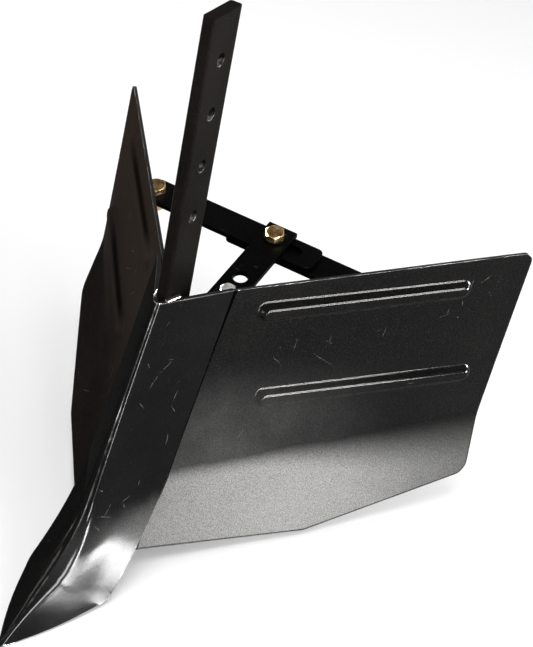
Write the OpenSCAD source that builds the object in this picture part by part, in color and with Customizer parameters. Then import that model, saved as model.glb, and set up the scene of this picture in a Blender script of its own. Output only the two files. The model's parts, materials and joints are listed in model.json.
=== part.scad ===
// Walk behind ridger: a V share on a flat shank, two pressed wings on hinge bolts,
// and a pair of slotted stays clamped under a centre bar that set how wide the wings stand.
// X runs across the machine, -Y is the way it travels, and Z is up.

/* [Shank] */
// thickness of the shank bar, side to side
shank_w = 11; // [8:0.5:16]
// depth of the shank bar, front to back
shank_d = 43; // [34:1:60]
// height of the shank's top
shank_top = 510; // [420:5:650]
// height of the shank's lower end
shank_low = 105; // [95:1:140]
// distance of the shank's front face behind the drawing's zero line
shank_front = 0.5; // [0:0.5:5]
// radius of the shank's long edges
shank_edge = 2.6; // [1:0.1:4]
// diameter of the depth holes
hole_d = 11; // [8:0.5:14]
// spacing of the depth holes
hole_pitch = 46.8; // [35:0.1:60]
// number of depth holes
hole_count = 4; // [2:1:5]
// distance from the shank's top to its first hole
hole_drop = 39.5; // [25:0.5:60]
// thickness of the gusset between shank and share
gusset_t = 8; // [5:0.5:11]
// radius of the weld beads
weld_r = 2.8; // [1.5:0.1:4]

/* [Share] */
// height of the share's top edge
share_top = 256; // [220:1:300]
// distance of the crease in front of the zero line, at the top
crease_lead = 5.6; // [4:0.1:8]
// distance of the rear edges behind the zero line, at the top
share_back = 57.5; // [50:0.5:66]
// half width of the share at its rear edges
share_half = 38.5; // [32:0.5:46]
// rearward lean of the share
share_rake = 20.8; // [14:0.1:28]
// height where the rear edges turn into the blade
edge_knee = 81; // [70:1:95]
// height of the knee in the crease
crease_knee = 52; // [44:1:62]
// reach of the tip in front of the zero line
blade_reach = 186; // [165:1:215]
// half width of the blade at its corners
blade_half = 41.5; // [36:0.5:50]
// distance of the blade's corners in front of the zero line
blade_corner = 84; // [74:1:96]
// outward bow of the blade's cutting edges
blade_bow = 3.2; // [0:0.1:6]
// length that the rounding takes off each side of a blade corner
blade_round = 9; // [4:0.5:14]
// height of the blade's corners above the tip
blade_lift = 2; // [0:0.5:6]
// plate thickness of the share
share_t = 3.5; // [2.5:0.1:4.5]
// plate thickness at the tip
tip_t = 1.8; // [1:0.1:3]
// outer radius of the fold along the crease
nose_r = 5; // [4.6:0.1:8]
// outer radius of the fold at the knee, where the blade is dished
knee_r = 15; // [8:0.5:20]
// outer radius of the fold at the tip
tip_r = 3.4; // [3.1:0.1:5]

/* [Wings] */
// place of the wing's top front corner, across
wing_x = 34.5; // [32:0.1:36]
// place of the wing's top front corner, front to back
wing_y = 59.4; // [57:0.1:64]
// angle between a wing and the line of travel
wing_angle = 38.2; // [34:0.1:44]
// length of the wing's top edge
wing_len = 300; // [270:1:340]
// height of the top edge at the front
wing_top_front = 252; // [246:1:256]
// height of the top edge at the rear
wing_top_rear = 267; // [255:1:290]
// lean of the wing at its front
lean_front = 10.3; // [6:0.1:12]
// lean of the wing at its rear
lean_rear = 2.9; // [0:0.1:6]
// lean of the bottom flange
flange_lean = 14.5; // [12:0.1:20]
// height of the bend above the bottom flange
fold_z = 90; // [78:1:100]
// half height of the soft part of that bend
fold_soft = 9; // [4:0.5:14]
// rake of the wing's rear edge
rear_rake = 5.7; // [0:0.1:10]
// rake of the wing's hidden front edge
front_rake = 16.7; // [15:0.1:20]
// overlap of the wing behind the share
front_lap = 9; // [6:0.5:11]
// height of the bottom edge at the wing's front corner
bottom_front = 19; // [12:0.5:26]
// place of the lowest point along the wing
bottom_mid_s = 99; // [85:1:120]
// height of the bottom edge at its lowest point
bottom_mid = 4; // [1:0.5:10]
// height of the bottom edge at the rear
bottom_rear = 36; // [26:1:44]
// radius of the wing's rear corners
wing_corner = 10.5; // [6:0.5:20]
// sheet thickness of the wings
wing_t = 3; // [2:0.1:3.5]

/* [Ribs] */
// width of a pressed rib
rib_w = 20; // [14:0.5:24]
// height of a pressed rib
rib_h = 5.5; // [3:0.1:7]
// share of a rib's half width that its flank takes
rib_flank_share = 0.66; // [0.5:0.01:0.9]
// distance of the upper rib's front end behind the wing's front corner
rib_front = 27; // [20:0.5:34]
// how much further back the lower rib starts
rib_step = 6; // [2:0.5:10]
// distance of the upper rib's rear end
rib_rear = 240; // [220:1:250]
// how much further back the lower rib runs
rib_extra = 21; // [12:1:26]
// height of the upper rib at its front end
rib_up_front = 229.5; // [222:0.5:232]
// height of the upper rib at its rear end
rib_up_rear = 234.5; // [226:0.5:242]
// height of the lower rib at its front end
rib_low_front = 146.5; // [140:0.5:170]
// height of the lower rib at its rear end
rib_low_rear = 142.5; // [130:0.5:170]

/* [Stays] */
// rearward rise of the centre bar and stays
bar_tilt = 14.7; // [10:0.1:18]
// distance of the centre bolt behind the zero line
bolt_back = 210; // [195:1:225]
// height of the centre bar's upper face at the centre bolt
bolt_level = 221.4; // [210:0.1:235]
// width of the centre bar and the stays
bar_w = 30; // [24:0.5:36]
// thickness of the centre bar and the stays
bar_t = 5; // [4:0.5:7]
// length of the centre bar behind the centre bolt
bar_tail = 17; // [14:0.5:22]
// distance from the centre bolt to the free hole in the centre bar
bar_hole_step = 61; // [40:1:80]
// diameter of that hole
bar_hole_d = 14; // [10:0.5:16]
// length of a stay past the middle
stay_past = 46; // [42:0.5:60]
// corner radius at a stay's inner end
stay_corner = 6; // [2:0.5:10]
// length of travel in a stay's slot
slot_travel = 23; // [19:0.5:26]
// width of a stay's slot
slot_w = 12; // [11.5:0.1:14]

/* [Lugs and hinges] */
// distance of a wing hinge from the middle
hinge_x = 24.5; // [22:0.5:27]
// distance of a wing hinge in front of the centre bolt, along the centre bar
hinge_fore = 126; // [118:1:134]
// height of the hinge bolt's seat over the centre bar
hinge_rise = 50; // [46:0.5:60]
// thickness of the hinge tabs and the wing ears
tab_t = 5; // [4:0.5:6]
// radius of the hinge tabs and the wing ears
tab_r = 11; // [9:0.5:13]
// how far a hinge tab's neck is set in, clear of the wing's front edge
tab_neck = 7; // [4:0.5:9]
// thickness of the wing lugs
lug_t = 5; // [4:0.5:7]
// radius of the wing lugs
lug_r = 13; // [11:0.5:15]
// clearance between a stay's rounded end and the wing
lug_gap = 4.5; // [2:0.1:8]
// half width of a lug where it meets the wing
lug_foot = 22; // [14:0.5:30]
// depth to which welded edges run into the sheet
weld_in = 1.4; // [0.6:0.1:1.6]

/* [Fasteners] */
// diameter of the centre and stay bolts
bolt_d = 10; // [8:0.5:10.5]
// width across flats of their heads and nuts
bolt_af = 17; // [13:0.5:17.5]
// height of their heads
bolt_head = 6.4; // [5:0.1:8]
// height of their nuts
bolt_nut = 8; // [6:0.1:10]
// diameter of the hinge bolts
pin_d = 8; // [6:0.5:9]
// width across flats of their heads and nuts
pin_af = 13; // [10:0.5:15]
// height of their heads
pin_head = 5.3; // [4:0.1:7]
// height of their nuts
pin_nut = 6.5; // [5:0.1:9]
// outer diameter of the large washers
washer_d = 21; // [18:0.5:24]
// outer diameter of the small washers
pin_washer_d = 16; // [13:0.5:18]
// thickness of the washers
washer_t = 2; // [1:0.1:3]
// length of bolt that shows below a nut
bolt_end = 4; // [1:0.5:8]
// gap between pieces that move past each other
run_gap = 0.3; // [0.25:0.01:0.5]
// radial play of a hinge bore
pin_play = 0.06; // [0.03:0.01:0.09]

/* [Hidden] */
$fn = 48;
paint = [0.06, 0.06, 0.065];
zinc = [0.72, 0.62, 0.38];

rake_k = tan(share_rake);
tilt_k = tan(bar_tilt);
lean_k = (lean_rear - lean_front) / wing_len;
rib_half = rib_w / 2;
wing_back = wing_y + (wing_len - wing_corner * tan(rear_rake)) * cos(wing_angle)
          + (wing_t - wing_corner * tan(lean_rear)) * sin(wing_angle);

// levels in the stack under the centre bar, measured down from its upper face
stay_top_left = -bar_t - run_gap;
stay_top_right = stay_top_left - bar_t - run_gap;
stack_low = stay_top_right - bar_t - run_gap;

// vector helpers
function mix(a, b, q) = a + (b - a) * q;
function arc2(a, b, c, q) = mix(mix(a, b, q), mix(b, c, q), q);
function flat(lists) = [for (l = lists) for (v = l) v];

// share: crease and edge lines, as [across, front to back, up]
function crease_at(z) = [0, -crease_lead - (share_top - z) * rake_k, z];
function edge_at(z) = [share_half, share_back - (share_top - z) * rake_k, z];
tip = [0, -blade_reach, 0];
knee = crease_at(crease_knee);
corner = [blade_half, -blade_corner, blade_lift];
edge_bend = edge_at(edge_knee);
edge_pull = [share_half, mix(edge_bend[1], corner[1], 0.27), mix(edge_bend[2], corner[2], 0.57)];
knee_from = mix(knee, crease_at(share_top), 0.16);
knee_to = mix(knee, tip, 0.34);
function toward(a, b, length) = a + (b - a) / norm(b - a) * length;
corner_in = toward(corner, edge_pull, blade_round);
corner_out = toward(corner, tip, blade_round);
round_end_share = 0.06;
blade_from = mix(knee_to, tip, round_end_share);

up_shares = [0, 0.14, 0.3, 0.48, 0.66, 0.84];
bend_shares = [0, 0.16, 0.32, 0.48, 0.64, 0.8, 0.92, 1];
corner_shares = [0.2, 0.4, 0.6, 0.8, 1];
tip_shares = [0.1, 0.28, 0.46, 0.64, 0.82, 0.963];

// one station: crease point, edge point, fold radius, thickness
up_stations = [for (q = up_shares) [
    mix(crease_at(share_top), knee_from, q),
    mix(edge_at(share_top), edge_bend, q),
    mix(nose_r, knee_r, pow(q, 3) * 0.3), share_t]];
bend_stations = [for (q = bend_shares) [
    arc2(knee_from, knee, knee_to, q),
    arc2(edge_bend, edge_pull, corner_in, q),
    mix(mix(nose_r, knee_r, 0.3), knee_r, sin(90 * q)), share_t]];
corner_stations = [for (q = corner_shares) [
    mix(knee_to, blade_from, q),
    arc2(corner_in, corner, corner_out, q),
    knee_r, share_t]];
tip_stations = [for (q = tip_shares) [
    mix(blade_from, tip, q),
    mix(corner_out, tip, q) + [blade_bow * sin(180 * q), 0, 0],
    mix(knee_r, tip_r, sin(90 * q)), mix(share_t, tip_t, q)]];
stations = concat(up_stations, bend_stations, corner_stations, tip_stations);
// the frame's origin is midway between the tip and the rear of the wings
frame_shift = -(stations[len(stations) - 1][0][1] + wing_back) / 2;

fold_steps = 6;
face_shares = [0.3, 0.65, 1];

// half profile of a station, from the crease outwards, set inwards by inset
function station_side(st, inset) =
    let (
        run = [0, st[1][1] - st[0][1], st[1][2] - st[0][2]],
        depth = norm(run),
        dir = run / depth,
        half = st[1][0],
        open = atan2(half, depth),
        radius = min(st[2], 0.7 * norm([half, depth]) * tan(open)),
        lead = radius * (1 / sin(open) - 1),
        side = atan2(half, depth + lead),
        apex = st[0] - dir * radius * (1 / sin(side) - 1),
        centre = radius / sin(side),
        r = radius - inset,
        foot = [r * cos(side), centre - r * sin(side)],
        end = [half - inset * cos(side), depth + lead + inset * sin(side)],
        curve = [for (i = [0 : fold_steps]) let (t = (90 - side) * i / fold_steps)
            [r * sin(t), centre - r * cos(t)]],
        face = [for (q = face_shares) mix(foot, end, q)]
    )
    [for (p = concat(curve, face)) apex + dir * p[1] + [p[0], 0, 0]];

function flip(p) = [-p[0], p[1], p[2]];
side_count = fold_steps + 1 + len(face_shares);
line_count = 2 * side_count - 1;
function station_line(st, inset) =
    let (s = station_side(st, inset))
    concat([for (i = [side_count - 1 : -1 : 1]) flip(s[i])], s);

share_points = flat([for (st = stations)
    concat(station_line(st, 0), station_line(st, st[3]))]);
// the frame's origin is level with the lowest point of the share
frame_lift = -min([for (p = share_points) p[2]]);
ring = 2 * line_count;
function share_id(i, j, inner) = i * ring + j + (inner ? line_count : 0);
last_station = len(stations) - 1;
share_faces = concat(
    flat([for (i = [0 : last_station - 1]) for (j = [0 : line_count - 2])
        let (a = share_id(i, j, false), b = share_id(i, j + 1, false),
             c = share_id(i + 1, j + 1, false), d = share_id(i + 1, j, false),
             e = share_id(i, j, true), f = share_id(i, j + 1, true),
             g = share_id(i + 1, j + 1, true), h = share_id(i + 1, j, true))
        [[a, b, c], [a, c, d], [e, g, f], [e, h, g]]]),
    flat([for (i = [0 : last_station - 1]) for (k = [0, 1])
        let (j = k * (line_count - 1),
             a = share_id(i, j, false), b = share_id(i + 1, j, false),
             c = share_id(i + 1, j, true), d = share_id(i, j, true))
        k == 0 ? [[a, b, c], [a, c, d]] : [[a, c, b], [a, d, c]]]),
    flat([for (k = [0, 1]) for (j = [0 : line_count - 2])
        let (i = k * last_station,
             a = share_id(i, j, false), b = share_id(i, j + 1, false),
             c = share_id(i, j + 1, true), d = share_id(i, j, true))
        k == 0 ? [[a, c, b], [a, d, c]] : [[a, b, c], [a, c, d]]]));

// wing: s runs back along the top edge, z is height, n is the distance outwards
function wing_top(s) = mix(wing_top_front, wing_top_rear, s / wing_len);
wing_front_run = front_lap + wing_top_front * tan(front_rake);
function wing_low(s) = s < bottom_mid_s
    ? mix(bottom_mid, bottom_front, (bottom_mid_s - s) / (bottom_mid_s + wing_front_run))
    : mix(bottom_mid, bottom_rear, (s - bottom_mid_s) / (wing_len - bottom_mid_s));
function wing_front_s(z) = -front_lap - (wing_top_front - z) * tan(front_rake);
function wing_rear_s(z) = wing_len - (wing_top_rear - z) * tan(rear_rake);
function soft(d) = d < -fold_soft ? 0 : d > fold_soft ? d : pow(d + fold_soft, 2) / (4 * fold_soft);
function seg_gap(p, a, b) =
    let (q = max(0, min(1, ((p - a) * (b - a)) / ((b - a) * (b - a)))))
    norm(p - mix(a, b, q));
function rib_raise(gap) =
    let (q = max(0, min(1, (rib_half - gap) / (rib_half * rib_flank_share))))
    rib_h * (1 - cos(180 * q)) / 2;
rib_low_end = rib_rear + rib_extra;
rib_low_start = rib_front + rib_step;
up_from = [rib_front + rib_half, rib_up_front];
up_to = [rib_rear - rib_half, rib_up_rear];
low_from = [rib_low_start + rib_half, rib_low_front];
low_to = [rib_low_end - rib_half, rib_low_rear];
function ribs(s, z) =
    rib_raise(seg_gap([s, z], up_from, up_to)) + rib_raise(seg_gap([s, z], low_from, low_to));
function wing_n(s, z) =
    let (a = tan(lean_front + lean_k * s))
    a * (wing_top(s) - z) + (tan(flange_lean) - a) * soft(fold_z - z);
function wing_at(s, z, n) = [
    wing_x + s * sin(wing_angle) + n * cos(wing_angle),
    wing_y + s * cos(wing_angle) - n * sin(wing_angle),
    z];

// rows of the wing's mesh, as heights for a given s
rib_shares = [-1, -0.8, -0.6, -0.4, -0.2, 0, 0.2, 0.4, 0.6, 0.8, 1];
fold_shares = [-1, -0.5, 0, 0.5, 1];
function rib_low_z(s) =
    mix(rib_low_front, rib_low_rear, (s - rib_low_start) / (rib_low_end - rib_low_start));
function rib_up_z(s) = mix(rib_up_front, rib_up_rear, (s - rib_front) / (rib_rear - rib_front));
function rows(s_low, s) = concat(
    [for (q = [0, 0.35, 0.7]) mix(wing_low(s_low), fold_z - fold_soft, q)],
    [for (q = fold_shares) fold_z + q * fold_soft],
    [mix(fold_z + fold_soft, rib_low_z(s) - rib_half, 0.5)],
    [for (q = rib_shares) rib_low_z(s) + q * rib_half],
    [for (q = [0.33, 0.67]) mix(rib_low_z(s) + rib_half, rib_up_z(s) - rib_half, q)],
    [for (q = rib_shares) rib_up_z(s) + q * rib_half],
    [for (q = [0.5, 1]) mix(rib_up_z(s) + rib_half, wing_top(s), q)]);

// columns of the wing's mesh
end_shares = [-0.4, 0, 0.2, 0.45, 0.75, 1.1, 1.6, 2.6];
start_shares = [-0.4, 0, 0.25, 0.6, 1.1, 1.6, 2.6];
mid_front = rib_low_start + 2.6 * rib_half;
mid_rear = rib_rear - 2.6 * rib_half;
mid_cols = concat(
    [for (q = start_shares) rib_front + q * rib_half + rib_step * max(0, min(1, q))],
    [for (q = [0.5, 1]) mix(mid_front, bottom_mid_s, q)],
    [for (q = [0.3, 0.65]) mix(bottom_mid_s, mid_rear, q)],
    [for (i = [len(end_shares) - 1 : -1 : 1]) rib_rear - end_shares[i] * rib_half],
    [for (q = [0.25, 0.5, 0.7, 0.85, 0.95, 1]) rib_rear + q * rib_extra],
    [rib_low_end + 0.4 * rib_half]);
first_col = mid_cols[0];
last_col = mid_cols[len(mid_cols) - 1];
front_steps = 4;
round_shares = [0, 0.25, 0.5, 0.75, 1];

// one column is the place along the wing for a height, and how much its ends are cut
col_count = front_steps + len(mid_cols) + len(round_shares);
function col_lean(s, z) =
    s - max(0, rib_low_rear - z) * tan(rear_rake) * max(0, (s - bottom_mid_s) / (last_col - bottom_mid_s));
function col_s(i, z) =
    i < front_steps ? mix(wing_front_s(z), first_col, i / front_steps)
    : i < front_steps + len(mid_cols) ? col_lean(mid_cols[i - front_steps], z)
    : wing_rear_s(z) - wing_corner * (1 - sin(90 * round_shares[i - front_steps - len(mid_cols)]));
function col_cut(i) =
    i < front_steps + len(mid_cols) ? 0
    : wing_corner * (1 - cos(90 * round_shares[i - front_steps - len(mid_cols)]));
function col_rows(i) =
    let (z = rows(col_s(i, wing_low(wing_len)), col_s(i, wing_top_front)),
         low = z[0],
         top = z[len(z) - 1],
         cut = col_cut(i),
         k = (top - low - 2 * cut) / (top - low))
    [for (v = z) let (zz = low + cut + (v - low) * k) [col_s(i, zz), zz]];
row_count = len(rows(0, 0));
wing_grid = [for (i = [0 : col_count - 1]) col_rows(i)];
wing_points = flat([for (back = [0, wing_t]) flat([for (i = [0 : col_count - 1])
    [for (p = wing_grid[i]) wing_at(p[0], p[1], wing_n(p[0], p[1]) + ribs(p[0], p[1]) - back)]])]);
wing_face_count = col_count * row_count;
function wing_id(i, j, back) = i * row_count + j + (back ? wing_face_count : 0);
wing_faces = concat(
    flat([for (i = [0 : col_count - 2]) for (j = [0 : row_count - 2])
        let (a = wing_id(i, j, false), b = wing_id(i + 1, j, false),
             c = wing_id(i + 1, j + 1, false), d = wing_id(i, j + 1, false),
             e = wing_id(i, j, true), f = wing_id(i + 1, j, true),
             g = wing_id(i + 1, j + 1, true), h = wing_id(i, j + 1, true))
        [[a, c, b], [a, d, c], [e, f, g], [e, g, h]]]),
    flat([for (i = [0 : col_count - 2]) for (k = [0, 1])
        let (j = k * (row_count - 1),
             a = wing_id(i, j, false), b = wing_id(i + 1, j, false),
             c = wing_id(i + 1, j, true), d = wing_id(i, j, true))
        k == 0 ? [[a, b, c], [a, c, d]] : [[a, c, b], [a, d, c]]]),
    flat([for (k = [0, 1]) for (j = [0 : row_count - 2])
        let (i = k * (col_count - 1),
             a = wing_id(i, j, false), b = wing_id(i, j + 1, false),
             c = wing_id(i, j + 1, true), d = wing_id(i, j, true))
        k == 0 ? [[a, c, b], [a, d, c]] : [[a, b, c], [a, c, d]]]));

// the tilted plane of the bars: places on it are [across, along the bar, over its upper face]
function plane_z(y, over) = bolt_level + (y - bolt_back) * tilt_k + over / cos(bar_tilt);
function plane_xy(p) = [p[0], (p[1] - bolt_back) * cos(bar_tilt) + (p[2] - bolt_level) * sin(bar_tilt)];
// a point at depth in, inside the wing's sheet where the plane cuts it
function wing_foot(s, over, in) =
    let (z0 = plane_z(wing_y + s * cos(wing_angle), over),
         n0 = wing_n(s, z0) - wing_t + in,
         z1 = plane_z(wing_y + s * cos(wing_angle) - n0 * sin(wing_angle), over),
         n1 = wing_n(s, z1) - wing_t + in)
    plane_xy(wing_at(s, plane_z(wing_y + s * cos(wing_angle) - n1 * sin(wing_angle), over), n1));
// a point at depth in, inside the share's plate, at share q of the way from crease to edge
share_side = atan2(share_half, share_back + crease_lead + nose_r);
function share_foot(q, over, in) =
    let (x = q * share_half - (share_t - in) * cos(share_side),
         y0 = mix(-crease_lead - nose_r, share_back, q) + (share_t - in) * sin(share_side),
         y = (y0 - (share_top - bolt_level + bolt_back * tilt_k - over / cos(bar_tilt)) * rake_k)
           / (1 - tilt_k * rake_k))
    plane_xy([x, y, plane_z(y, over)]);
// the stay bolts are level with the centre bolt, and the stays' ends stand off from the wings by a gap
function level_s(s, steps) = steps == 0 ? s
    : level_s(s - wing_foot(s, stay_top_left, 0)[1] / cos(wing_angle), steps - 1);
level_steps = 6;
stay_reach = wing_foot(level_s((bolt_back - wing_y) / cos(wing_angle), level_steps), stay_top_left, 0)[0]
           - (bar_w / 2 + lug_gap) / cos(wing_angle);
hinge = [hinge_x, -hinge_fore];
stay_pin = [stay_reach, 0];
hinge_s = (hinge_x - wing_x) * sin(wing_angle)
        + (bolt_back - hinge_fore * cos(bar_tilt) - hinge_rise * sin(bar_tilt) - wing_y) * cos(wing_angle);
lug_s = (stay_reach - wing_x) * sin(wing_angle) + (bolt_back - wing_y) * cos(wing_angle);
ear_over = hinge_rise - 2 * tab_t - run_gap;
lug_over_left = stay_top_left - bar_t - run_gap - lug_t;
lug_over_right = lug_over_left - bar_t - run_gap;

module place() {
    translate([0, frame_shift, frame_lift]) children();
}

module on_bar(p, over) {
    translate([0, bolt_back, bolt_level])
        rotate([bar_tilt, 0, 0])
            translate([p[0], p[1], over]) children();
}

module left_side() {
    mirror([1, 0, 0]) children();
}

module round_bar(w, d, r) {
    translate([-w / 2 + r, 0]) square([w - 2 * r, d]);
    translate([-w / 2, r]) square([w, d - 2 * r]);
    for (x = [-w / 2 + r, w / 2 - r], y = [r, d - r])
        translate([x, y]) circle(r);
}

module hex_blank(af, h, top, low) {
    cut = af * 0.08;
    intersection() {
        cylinder(d = af / cos(30), h = h, $fn = 6);
        union() {
            translate([0, 0, low ? cut : 0])
                cylinder(d = af / cos(30), h = h - (top ? cut : 0) - (low ? cut : 0));
            if (top)
                translate([0, 0, h - cut])
                    cylinder(d1 = af / cos(30), d2 = af * 0.94, h = cut);
            if (low)
                cylinder(d1 = af * 0.94, d2 = af / cos(30), h = cut);
        }
    }
}

module hex_bolt(d, af, head, shaft) {
    cut = d * 0.08;
    hex_blank(af, head, true, false);
    translate([0, 0, -shaft + cut])
        cylinder(d = d, h = shaft - cut);
    translate([0, 0, -shaft])
        cylinder(d1 = d - 2 * cut, d2 = d, h = cut);
}

module hex_nut(d, af, h) {
    difference() {
        hex_blank(af, h, true, true);
        translate([0, 0, -h / 2])
            cylinder(d = d, h = 2 * h);
    }
}

module washer(d, hole, t) {
    difference() {
        cylinder(d = d, h = t);
        translate([0, 0, -t])
            cylinder(d = hole, h = 3 * t);
    }
}

// a weld bead is a row of even drops, turned about the line from one end to the other
module bead(from, to, r, count) {
    run = to - from;
    pitch = norm(run) / (count - 1);
    meet = acos(min(1, pitch / (2 * r)));
    arc_steps = 6;
    profile = [for (i = [0 : count - 1], k = [0 : arc_steps])
        let (t = mix(i == 0 ? 0 : meet, i == count - 1 ? 180 : 180 - meet, k / arc_steps),
             at_end = i == count - 1 && k == arc_steps)
        if (i == 0 || k > 0) [at_end ? 0 : r * sin(t), i * pitch - r * cos(t)]];
    translate(from)
        rotate([0, acos(run[2] / norm(run)), atan2(run[1], run[0])])
            rotate_extrude($fn = 24)
                polygon(profile);
}

module tab_plate(eye, r, t, hole, feet) {
    across = feet[len(feet) - 1] - feet[0];
    grip = across / norm(across) * r * 0.98;
    linear_extrude(t)
        difference() {
            union() {
                translate(eye) circle(r);
                polygon(concat([eye - grip], feet, [eye + grip]));
            }
            translate(eye) circle(d = hole);
        }
}

module shank() {
    color(paint) place()
        difference() {
            translate([0, shank_front, shank_low])
                linear_extrude(shank_top - shank_low) round_bar(shank_w, shank_d, shank_edge);
            for (i = [0 : hole_count - 1])
                translate([-shank_w, shank_front + shank_d / 2, shank_top - hole_drop - i * hole_pitch])
                    rotate([0, 90, 0])
                        cylinder(d = hole_d, h = 2 * shank_w);
        }
}

module share() {
    color(paint) place()
        polyhedron(share_points, share_faces, convexity = 6);
}

// the gusset's front edge lies where the folded plate is as wide as the gusset
gusset_lead = share_t / sin(share_side) + gusset_t / 2 / tan(share_side)
            - nose_r * (1 / sin(share_side) - 1) - weld_in;
function gusset_y(z) = crease_at(z)[1] + gusset_lead;

module nose_gusset() {
    low = shank_low;
    back = shank_front + shank_edge;
    high = share_top - (gusset_y(share_top) - shank_front) / rake_k;
    color(paint) place()
        translate([gusset_t / 2, 0, 0])
            rotate([0, -90, 0])
                linear_extrude(gusset_t)
                    polygon([[low, back], [low, gusset_y(low)], [high, shank_front], [high, back]]);
}

module shank_weld() {
    y0 = shank_front + shank_edge;
    bead([shank_w / 2, y0, share_top], [shank_w / 2 + weld_r, y0 + 4 * weld_r, share_top], weld_r, 5);
}

module shank_weld_right() {
    color(paint) place() shank_weld();
}

module shank_weld_left() {
    color(paint) place() left_side() shank_weld();
}

module hinge_tab() {
    over = hinge_rise - tab_t;
    outer = share_foot(0.76, over + tab_t / 2, weld_in);
    inner = share_foot(0.54, over + tab_t / 2, weld_in);
    side = hinge - [tab_r, 0];
    on_bar([0, 0], over)
        linear_extrude(tab_t)
            difference() {
                union() {
                    translate(hinge) circle(tab_r);
                    polygon([side, mix(inner, side, 0.45) - [tab_neck, 0], inner, outer,
                        mix(outer, hinge, 0.34) - [tab_neck, 0], hinge - [0, tab_r]]);
                }
                translate(hinge) circle(d = pin_d);
            }
}

module hinge_tab_right() {
    color(paint) place() hinge_tab();
}

module hinge_tab_left() {
    color(paint) place() left_side() hinge_tab();
}

// beads lie in the corner between two plates, set off from the sheet so that they do not go through it
bead_off = -0.4 * weld_r;

module tab_weld() {
    from = share_foot(0.56, hinge_rise, bead_off);
    to = share_foot(0.74, hinge_rise, bead_off);
    on_bar([0, 0], hinge_rise)
        bead([from[0], from[1], 0], [to[0], to[1], 0], weld_r, 5);
}

module tab_weld_right() {
    color(paint) place() tab_weld();
}

module tab_weld_left() {
    color(paint) place() left_side() tab_weld();
}

pin_shaft = 2 * tab_t + 2 * run_gap + washer_t + pin_nut + bolt_end;

module hinge_bolt() {
    on_bar(hinge, hinge_rise) hex_bolt(pin_d, pin_af, pin_head, pin_shaft);
}

module hinge_bolt_right() {
    color(zinc) place() hinge_bolt();
}

module hinge_bolt_left() {
    color(zinc) place() left_side() hinge_bolt();
}

module hinge_washer() {
    on_bar(hinge, ear_over - run_gap - washer_t) washer(pin_washer_d, pin_d, washer_t);
}

module hinge_washer_right() {
    color(zinc) place() hinge_washer();
}

module hinge_washer_left() {
    color(zinc) place() left_side() hinge_washer();
}

module hinge_nut() {
    on_bar(hinge, ear_over - run_gap - washer_t - pin_nut) hex_nut(pin_d, pin_af, pin_nut);
}

module hinge_nut_right() {
    color(zinc) place() hinge_nut();
}

module hinge_nut_left() {
    color(zinc) place() left_side() hinge_nut();
}

bar_front = (shank_front + shank_d - weld_in - bolt_back) / cos(bar_tilt);

module centre_bar() {
    color(paint) place()
        on_bar([0, 0], -bar_t)
            linear_extrude(bar_t)
                difference() {
                    translate([-bar_w / 2, bar_front])
                        square([bar_w, bar_tail - bar_front]);
                    circle(d = bolt_d);
                    translate([0, -bar_hole_step])
                        circle(d = bar_hole_d);
                }
}

module bar_weld() {
    color(paint) place()
        on_bar([0, bar_front + weld_in], 0)
            bead([-shank_w / 2, 0, 0], [shank_w / 2, 0, 0], weld_r, 5);
}

module centre_bolt() {
    color(zinc) place()
        on_bar([0, 0], washer_t)
            hex_bolt(bolt_d, bolt_af, bolt_head, washer_t - stack_low + washer_t + bolt_nut + bolt_end);
}

module centre_washer_top() {
    color(zinc) place()
        on_bar([0, 0], 0) washer(washer_d, bolt_d, washer_t);
}

module centre_washer_low() {
    color(zinc) place()
        on_bar([0, 0], stack_low - washer_t) washer(washer_d, bolt_d, washer_t);
}

module centre_nut() {
    color(zinc) place()
        on_bar([0, 0], stack_low - washer_t - bolt_nut) hex_nut(bolt_d, bolt_af, bolt_nut);
}

module wing() {
    polyhedron(wing_points, wing_faces, convexity = 8);
}

module wing_right() {
    color(paint) place() wing();
}

module wing_left() {
    color(paint) place() left_side() wing();
}

module wing_ear() {
    feet = [for (q = [-0.2, 0.8, 2]) wing_foot(hinge_s + q * tab_r, ear_over + tab_t / 2, weld_in)];
    on_bar([0, 0], ear_over)
        tab_plate(hinge, tab_r, tab_t, pin_d + 2 * pin_play, feet);
}

module wing_ear_right() {
    color(paint) place() wing_ear();
}

module wing_ear_left() {
    color(paint) place() left_side() wing_ear();
}

module wing_lug(over) {
    feet = [for (q = [-1, 0, 1]) wing_foot(lug_s + q * lug_foot, over + lug_t / 2, weld_in)];
    on_bar([0, 0], over)
        tab_plate(stay_pin, lug_r, lug_t, bolt_d, feet);
}

module wing_lug_right() {
    color(paint) place() wing_lug(lug_over_right);
}

module wing_lug_left() {
    color(paint) place() left_side() wing_lug(lug_over_left);
}

module lug_weld(over) {
    from = wing_foot(lug_s - 0.8 * lug_foot, over, bead_off);
    to = wing_foot(lug_s + 0.8 * lug_foot, over, bead_off);
    on_bar([0, 0], over)
        bead([from[0], from[1], 0], [to[0], to[1], 0], weld_r, 10);
}

module lug_weld_right() {
    color(paint) place() lug_weld(lug_over_right);
}

module lug_weld_left() {
    color(paint) place() left_side() lug_weld(lug_over_left);
}

module lug_bolt(over) {
    on_bar(stay_pin, over + lug_t + bar_t + 2 * run_gap)
        hex_bolt(bolt_d, bolt_af, bolt_head, lug_t + bar_t + 2 * run_gap + washer_t + bolt_nut + bolt_end);
}

module lug_bolt_right() {
    color(zinc) place() lug_bolt(lug_over_right);
}

module lug_bolt_left() {
    color(zinc) place() left_side() lug_bolt(lug_over_left);
}

module lug_washer(over) {
    on_bar(stay_pin, over - washer_t) washer(washer_d, bolt_d, washer_t);
}

module lug_washer_right() {
    color(zinc) place() lug_washer(lug_over_right);
}

module lug_washer_left() {
    color(zinc) place() left_side() lug_washer(lug_over_left);
}

module lug_nut(over) {
    on_bar(stay_pin, over - washer_t - bolt_nut) hex_nut(bolt_d, bolt_af, bolt_nut);
}

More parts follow.
